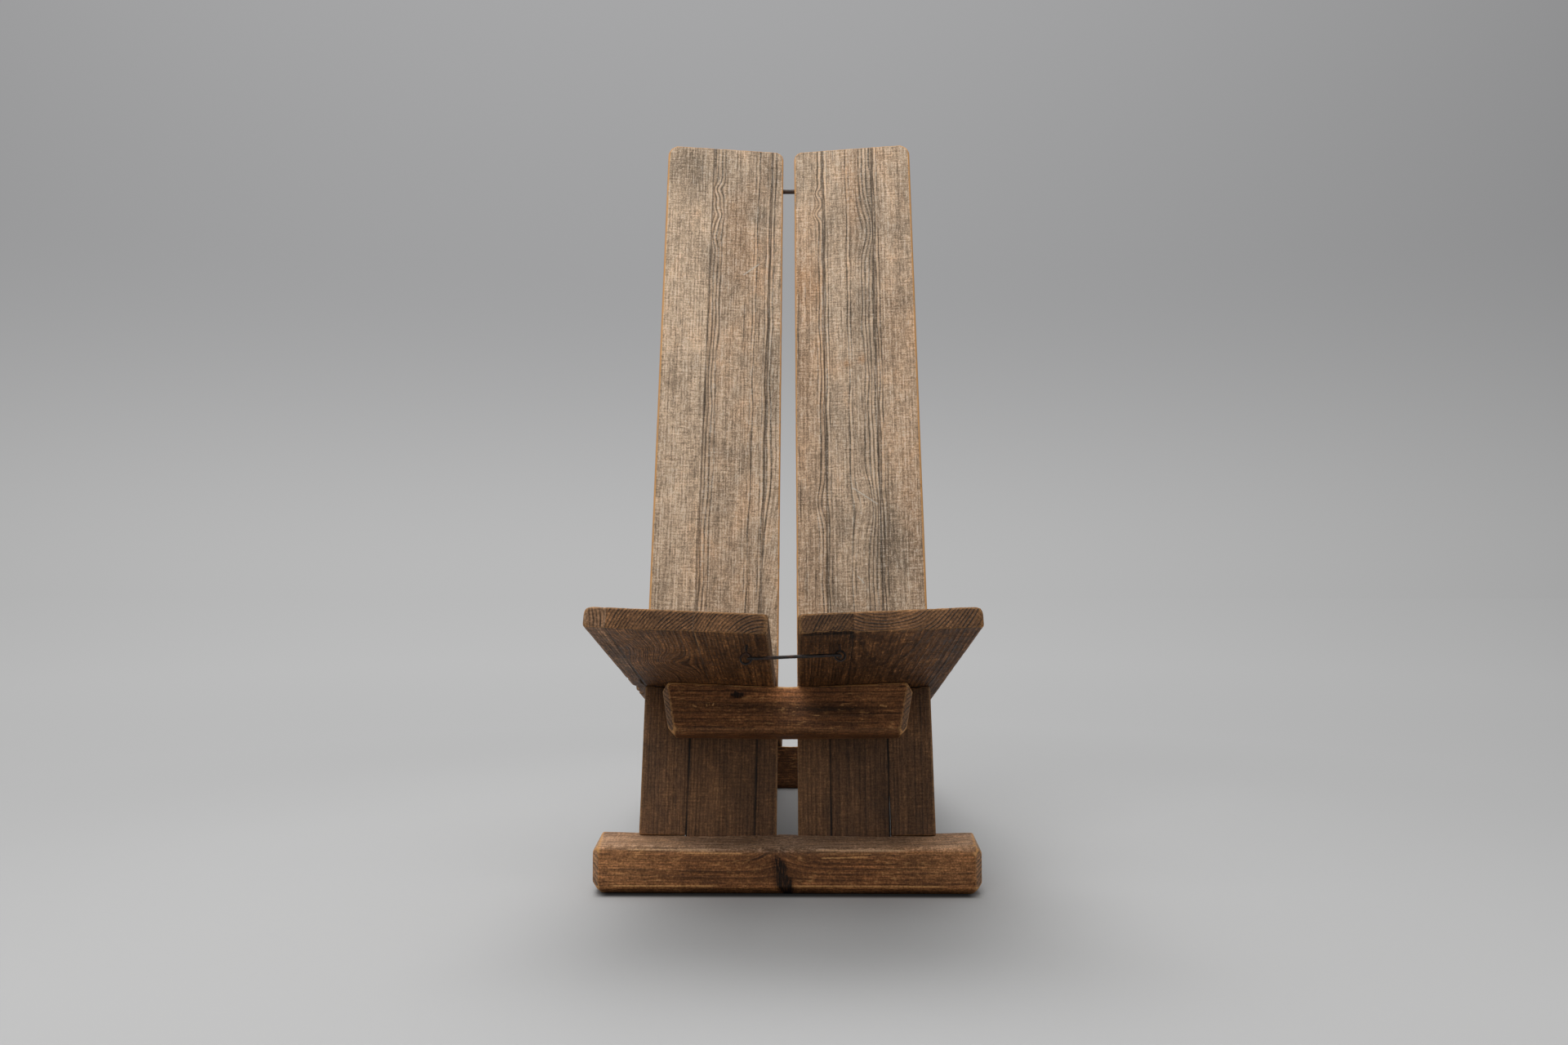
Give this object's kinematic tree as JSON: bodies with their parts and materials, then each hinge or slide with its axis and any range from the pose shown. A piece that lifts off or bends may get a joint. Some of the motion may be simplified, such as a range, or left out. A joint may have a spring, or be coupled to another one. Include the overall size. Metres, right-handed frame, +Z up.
{
  "type": "crossed board lounge chair",
  "caption": "Low lounge chair of crossing pairs of weathered pine boards on bar feet, tied under the seat by a cabin hook.",
  "frame": {"origin": "middle of the chair's outline at floor level", "axes": "+Z up, +Y from the sitter's knees to the rear, +X across the chair, to the right as seen from the front"},
  "size_m": [0.478, 1.071, 1.0506],
  "materials": {
    "back_pine": "bare weathered pine, grey-tan with dark grain",
    "seat_pine": "bare aged pine, brown",
    "rail_pine": "bare aged pine, worn at the edges",
    "dark_iron": "blackened, slightly rusty",
    "tie_rod_steel": "dull, darkened"
  },
  "bodies": {
    "root": {"back_left_inner_stave": "back_pine", "back_left_middle_stave": "back_pine", "back_left_outer_stave_upper": "back_pine", "back_left_outer_stave_lower": "back_pine", "back_right_inner_stave": "back_pine", "back_right_middle_stave": "back_pine", "back_right_outer_stave_upper": "back_pine", "back_right_outer_stave_lower": "back_pine", "seat_left_outer_stave": "seat_pine", "seat_left_middle_stave": "seat_pine", "seat_left_inner_stave_front": "seat_pine", "seat_left_inner_stave_rear": "seat_pine", "seat_right_outer_stave": "seat_pine", "seat_right_inner_stave_front": "seat_pine", "seat_right_inner_stave_rear": "seat_pine", "front_foot_rail": "rail_pine", "rear_foot_rail": "rail_pine", "seat_support_rail": "rail_pine", "back_tie_rod": "tie_rod_steel", "left_screw_eye": "dark_iron", "right_screw_eye": "dark_iron", "front_foot_screws": "dark_iron", "seat_support_rail_screws": "dark_iron", "rear_foot_screws": "dark_iron"},
    "hook": {"cabin_hook": "dark_iron"}
  },
  "joints": [
    {"name": "hook_swing", "type": "hinge", "parent": "root", "child": "hook", "pos_m": [-0.03589, -0.48058, 0.29956], "axis": [0.0311, -0.2403, -0.9702], "range_deg": [0, 150]}
  ]
}
